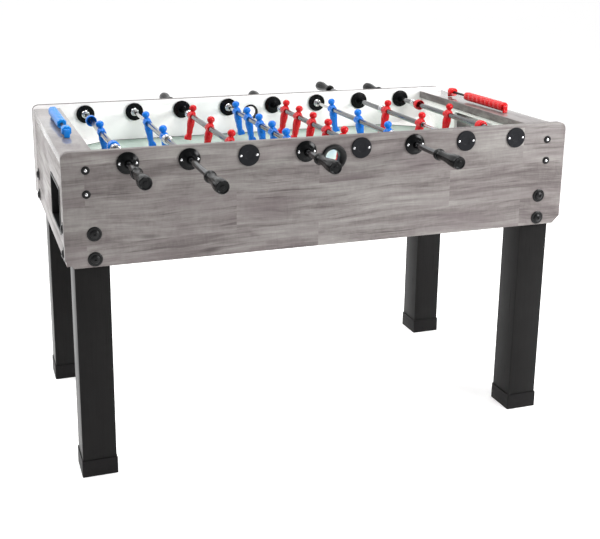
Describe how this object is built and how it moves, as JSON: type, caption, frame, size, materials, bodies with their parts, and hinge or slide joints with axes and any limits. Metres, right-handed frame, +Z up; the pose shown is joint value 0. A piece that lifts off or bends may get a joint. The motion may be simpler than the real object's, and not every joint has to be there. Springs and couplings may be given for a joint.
{
  "type": "foosball table",
  "caption": "Foosball table in grey oak laminate on square black legs, with telescopic chrome rods carrying blue and red players.",
  "frame": {"origin": "on the floor, under the centre of the bounding box as stored", "axes": "X along the table, -Y the side with the blue players' handles, +Z up"},
  "size_m": [1.4336, 1.424, 0.9094],
  "materials": {
    "grey_oak": "satin grey oak laminate",
    "white_laminate": "smooth white laminate",
    "field": "glossy pale green glass on board",
    "black_plastic": "semi-gloss moulded black",
    "black_leg": "satin black",
    "chrome": "polished",
    "blue_plastic": "semi-gloss moulded blue",
    "red_plastic": "semi-gloss moulded red"
  },
  "bodies": {
    "cabinet": {"front_side_panel": "grey_oak", "back_side_panel": "grey_oak", "playfield": "field", "cabinet_floor": "white_laminate", "front_ball_entry": "black_plastic", "back_ball_entry": "black_plastic", "left_end_panel": "grey_oak", "left_end_shelf": "grey_oak", "left_goal_unit": "white_laminate", "left_ball_pocket": "black_plastic", "left_score_rail": "black_plastic", "front_left_leg": "black_leg", "front_left_foot": "black_plastic", "back_left_leg": "black_leg", "back_left_foot": "black_plastic", "right_end_panel": "grey_oak", "right_end_shelf": "grey_oak", "right_goal_unit": "white_laminate", "right_ball_pocket": "black_plastic", "right_score_rail": "black_plastic", "front_right_leg": "black_leg", "front_right_foot": "black_plastic", "back_right_leg": "black_leg", "back_right_foot": "black_plastic", "blue_goalie_bushing": "black_plastic", "blue_defence_bushing": "black_plastic", "red_attack_bushing": "black_plastic", "blue_midfield_bushing": "black_plastic", "red_midfield_bushing": "black_plastic", "blue_attack_bushing": "black_plastic", "red_defence_bushing": "black_plastic", "red_goalie_bushing": "black_plastic"},
    "blue_goalie_core": {"blue_goalie_inner_rod": "chrome"},
    "blue_goalie": {"blue_goalie_rod": "chrome", "blue_goalie_handle": "black_plastic"},
    "blue_defence_core": {"blue_defence_inner_rod": "chrome"},
    "blue_defence": {"blue_defence_rod": "chrome", "blue_defence_handle": "black_plastic"},
    "red_attack_core": {"red_attack_inner_rod": "chrome"},
    "red_attack": {"red_attack_rod": "chrome", "red_attack_handle": "black_plastic"},
    "blue_midfield_core": {"blue_midfield_inner_rod": "chrome"},
    "blue_midfield": {"blue_midfield_rod": "chrome", "blue_midfield_handle": "black_plastic"},
    "red_midfield_core": {"red_midfield_inner_rod": "chrome"},
    "red_midfield": {"red_midfield_rod": "chrome", "red_midfield_handle": "black_plastic"},
    "blue_attack_core": {"blue_attack_inner_rod": "chrome"},
    "blue_attack": {"blue_attack_rod": "chrome", "blue_attack_handle": "black_plastic"},
    "red_defence_core": {"red_defence_inner_rod": "chrome"},
    "red_defence": {"red_defence_rod": "chrome", "red_defence_handle": "black_plastic"},
    "red_goalie_core": {"red_goalie_inner_rod": "chrome"},
    "red_goalie": {"red_goalie_rod": "chrome", "red_goalie_handle": "black_plastic"},
    "left_score_block": {"left_score_block": "blue_plastic"},
    "left_score_bead": {"left_score_bead": "blue_plastic"},
    "right_score_block": {"right_score_block": "red_plastic"},
    "right_score_bead": {"right_score_bead": "red_plastic"}
  },
  "joints": [
    {"name": "blue_goalie_spin", "type": "hinge", "parent": "cabinet", "child": "blue_goalie_core", "pos_m": [-0.55125, -0.021, 0.855], "axis": [0, 1, 0], "continuous": true},
    {"name": "blue_goalie_slide", "type": "slide", "parent": "blue_goalie_core", "child": "blue_goalie", "axis": [0, 1, 0], "range_m": [-0.135, 0.075]},
    {"name": "blue_defence_spin", "type": "hinge", "parent": "cabinet", "child": "blue_defence_core", "pos_m": [-0.39375, -0.021, 0.855], "axis": [0, 1, 0], "continuous": true},
    {"name": "blue_defence_slide", "type": "slide", "parent": "blue_defence_core", "child": "blue_defence", "axis": [0, 1, 0], "range_m": [-0.219, 0.161]},
    {"name": "red_attack_spin", "type": "hinge", "parent": "cabinet", "child": "red_attack_core", "pos_m": [-0.23625, -0.021, 0.855], "axis": [0, 1, 0], "continuous": true},
    {"name": "red_attack_slide", "type": "slide", "parent": "red_attack_core", "child": "red_attack", "axis": [0, 1, 0], "range_m": [-0.102, 0.088]},
    {"name": "blue_midfield_spin", "type": "hinge", "parent": "cabinet", "child": "blue_midfield_core", "pos_m": [-0.07875, -0.021, 0.855], "axis": [0, 1, 0], "continuous": true},
    {"name": "blue_midfield_slide", "type": "slide", "parent": "blue_midfield_core", "child": "blue_midfield", "axis": [0, 1, 0], "range_m": [-0.077, 0.057]},
    {"name": "red_midfield_spin", "type": "hinge", "parent": "cabinet", "child": "red_midfield_core", "pos_m": [0.07875, -0.021, 0.855], "axis": [0, 1, 0], "continuous": true},
    {"name": "red_midfield_slide", "type": "slide", "parent": "red_midfield_core", "child": "red_midfield", "axis": [0, 1, 0], "range_m": [-0.057, 0.077]},
    {"name": "blue_attack_spin", "type": "hinge", "parent": "cabinet", "child": "blue_attack_core", "pos_m": [0.23625, -0.021, 0.855], "axis": [0, 1, 0], "continuous": true},
    {"name": "blue_attack_slide", "type": "slide", "parent": "blue_attack_core", "child": "blue_attack", "axis": [0, 1, 0], "range_m": [-0.092, 0.098]},
    {"name": "red_defence_spin", "type": "hinge", "parent": "cabinet", "child": "red_defence_core", "pos_m": [0.39375, -0.021, 0.855], "axis": [0, 1, 0], "continuous": true},
    {"name": "red_defence_slide", "type": "slide", "parent": "red_defence_core", "child": "red_defence", "axis": [0, 1, 0], "range_m": [-0.203, 0.177]},
    {"name": "red_goalie_spin", "type": "hinge", "parent": "cabinet", "child": "red_goalie_core", "pos_m": [0.55125, -0.021, 0.855], "axis": [0, 1, 0], "continuous": true},
    {"name": "red_goalie_slide", "type": "slide", "parent": "red_goalie_core", "child": "red_goalie", "axis": [0, 1, 0], "range_m": [-0.115, 0.095]},
    {"name": "left_score_block_slide", "type": "slide", "parent": "cabinet", "child": "left_score_block", "axis": [0, 1, 0], "range_m": [-0.041, 0]},
    {"name": "left_score_bead_slide", "type": "slide", "parent": "cabinet", "child": "left_score_bead", "axis": [0, 1, 0], "range_m": [0, 0.041]},
    {"name": "right_score_block_slide", "type": "slide", "parent": "cabinet", "child": "right_score_block", "axis": [0, 1, 0], "range_m": [0, 0.041]},
    {"name": "right_score_bead_slide", "type": "slide", "parent": "cabinet", "child": "right_score_bead", "axis": [0, 1, 0], "range_m": [-0.041, 0]}
  ]
}
